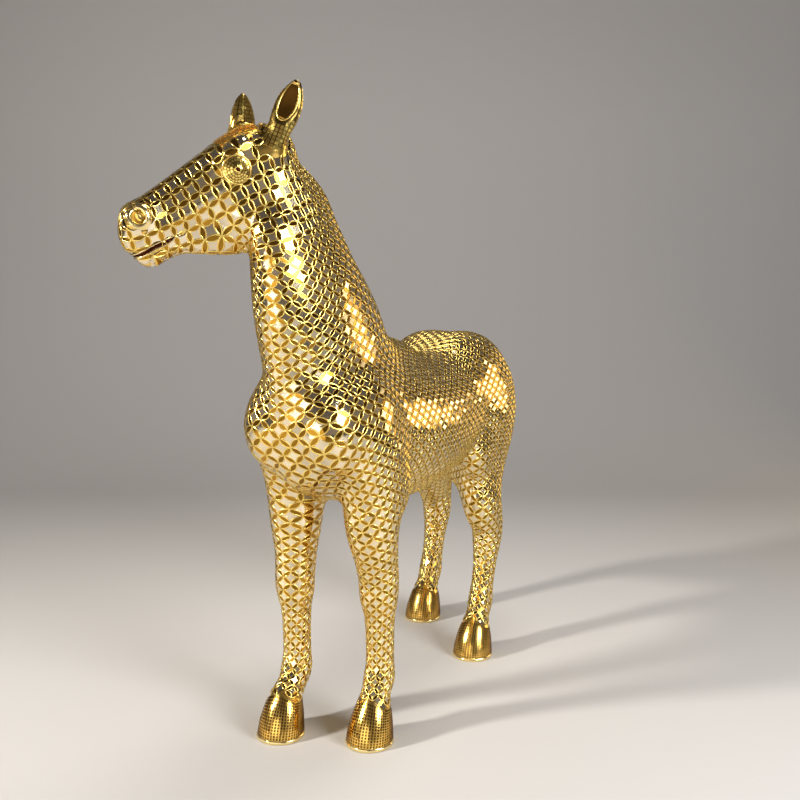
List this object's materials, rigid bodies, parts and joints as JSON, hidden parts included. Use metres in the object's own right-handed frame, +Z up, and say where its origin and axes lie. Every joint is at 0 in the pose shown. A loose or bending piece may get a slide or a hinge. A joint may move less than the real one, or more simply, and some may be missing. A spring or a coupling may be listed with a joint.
{
  "type": "horse statue",
  "caption": "Life-size standing horse statue with its head turned to one side, covered in gold mosaic of interlocking circles.",
  "frame": {"origin": "on the floor, under the middle of the figure's box", "axes": "+Z up; the horse faces -Y with its left side towards +X; its head is turned to its right, towards -X"},
  "size_m": [0.654, 2.0176, 2.1566],
  "materials": {
    "gold_mosaic": "polished gold leaf between the tiles",
    "gold_petals": "mirror-bright amber gold glass tile",
    "pearl_squares": "pale white-gold glass tile",
    "hoof_gold": "polished gold",
    "ear_bronze": "smooth dark bronze gold",
    "mouth_dark": "dark red-brown enamel"
  },
  "bodies": {
    "root": {"horse": "gold_mosaic"}
  },
  "joints": []
}
